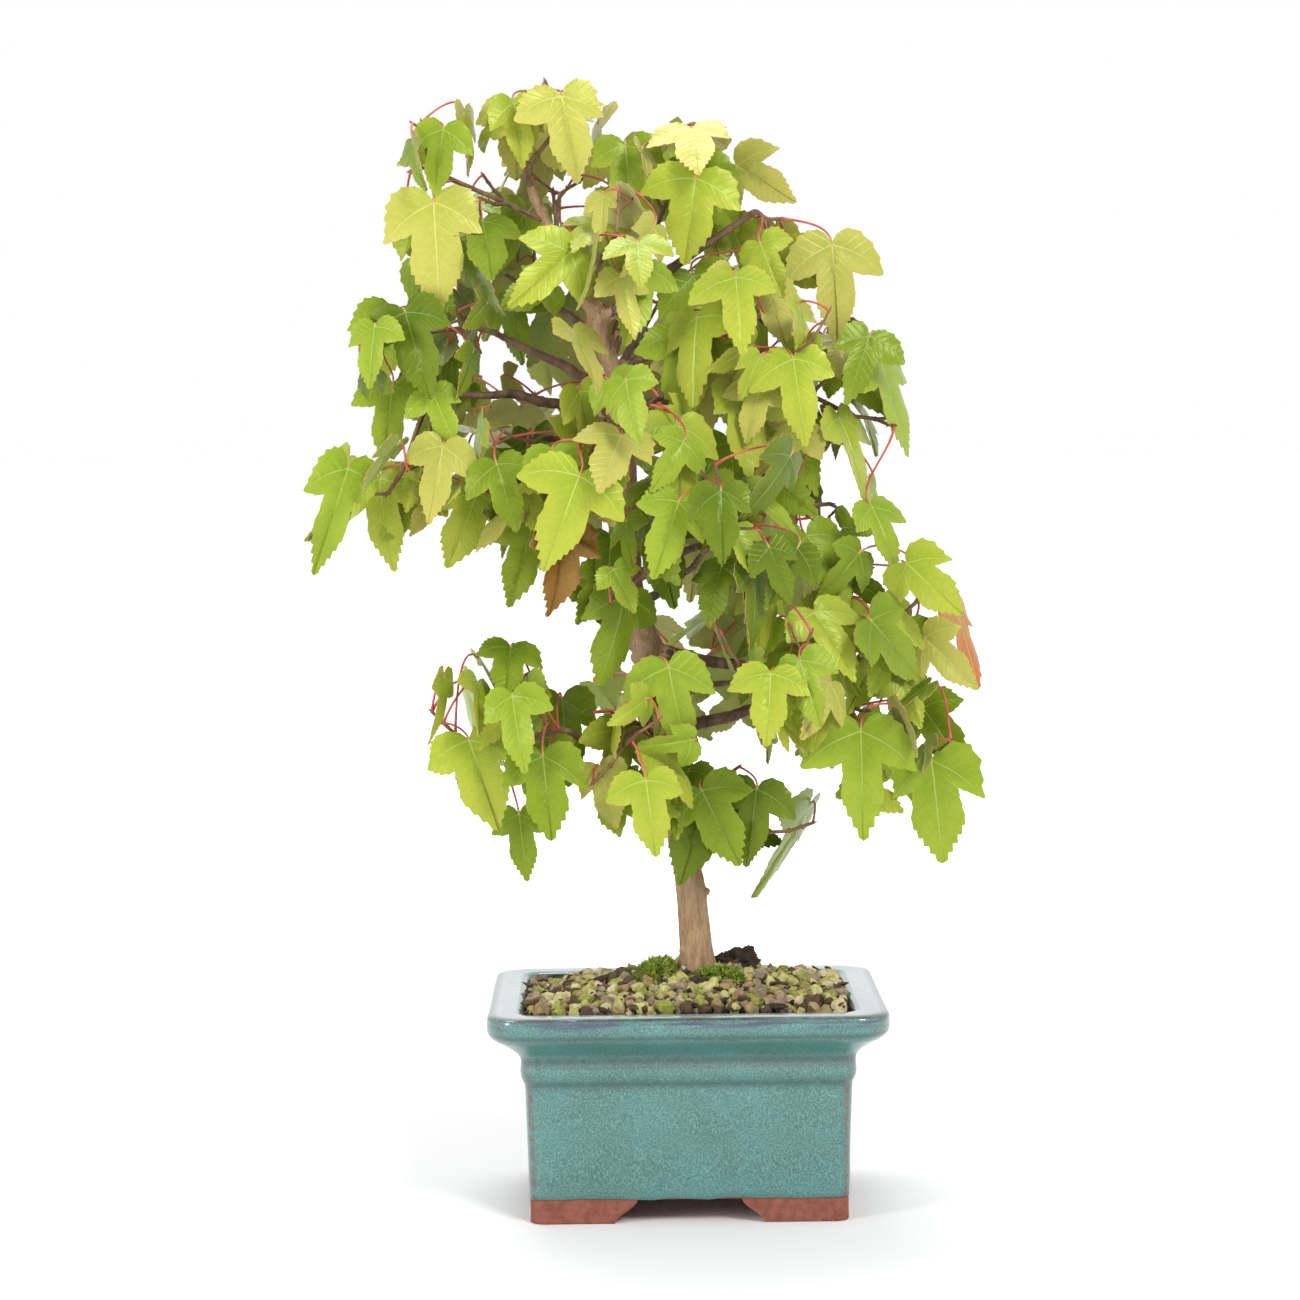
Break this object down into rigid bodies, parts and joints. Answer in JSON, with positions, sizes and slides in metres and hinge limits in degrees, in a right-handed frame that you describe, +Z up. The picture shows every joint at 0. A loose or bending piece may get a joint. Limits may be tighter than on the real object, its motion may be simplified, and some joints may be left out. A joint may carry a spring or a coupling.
{
  "type": "potted trident maple bonsai",
  "caption": "Young trident maple bonsai with a slim leaning trunk and airy three-lobed foliage, planted in gritty soil in a teal glazed rectangular pot on bare clay feet.",
  "frame": {"origin": "on the ground under the middle of the whole part's box", "axes": "+Z up, +X to the right of the pot's long front, +Y towards the back"},
  "size_m": [0.2658, 0.1582, 0.4292],
  "materials": {
    "pot_glaze": "mottled teal glaze, glossy",
    "pot_clay": "bare red-brown fired clay",
    "soil": "loose gritty grains",
    "moss": "soft green moss",
    "bark": "matt, finely fissured bark",
    "young_bark": "smooth dark brown young bark",
    "leaves": "satin green to yellow leaves",
    "leaf_stalks": "thin red leaf stalks"
  },
  "bodies": {
    "root": {"bough_back_low": "young_bark", "bough_back_mid_left": "young_bark", "bough_back_mid_right": "young_bark", "bough_back_upper": "young_bark", "bough_crown_mid": "young_bark", "bough_crown_right": "young_bark", "bough_left_back": "young_bark", "bough_left_far": "young_bark", "bough_left_mid": "young_bark", "bough_left_upper": "young_bark", "bough_low_left": "young_bark", "bough_right_far": "young_bark", "bough_right_low": "young_bark", "bough_right_low_front": "young_bark", "bough_right_mid": "young_bark", "bough_right_mid_front": "young_bark", "bough_right_shoulder": "young_bark", "bough_right_upper": "young_bark", "foliage_apex_left": "leaves", "foliage_apex_top": "leaves", "foliage_back_low": "leaves", "foliage_back_mid_left": "leaves", "foliage_back_mid_right": "leaves", "foliage_back_top": "leaves", "foliage_back_upper": "leaves", "foliage_centre_front": "leaves", "foliage_crown_front": "leaves", "foliage_crown_mid": "leaves", "foliage_crown_right": "leaves", "foliage_hanging": "leaves", "foliage_left_back": "leaves", "foliage_left_far": "leaves", "foliage_left_mid": "leaves", "foliage_left_upper": "leaves", "foliage_low_left": "leaves", "foliage_low_left_inner": "leaves", "foliage_right_far": "leaves", "foliage_right_low": "leaves", "foliage_right_low_front": "leaves", "foliage_right_mid": "leaves", "foliage_right_mid_front": "leaves", "foliage_right_shoulder": "leaves", "foliage_right_upper": "leaves", "foliage_waist": "leaves", "moss_left": "moss", "moss_right": "moss", "pot": "pot_glaze", "soil": "soil", "trunk": "bark"}
  },
  "joints": []
}
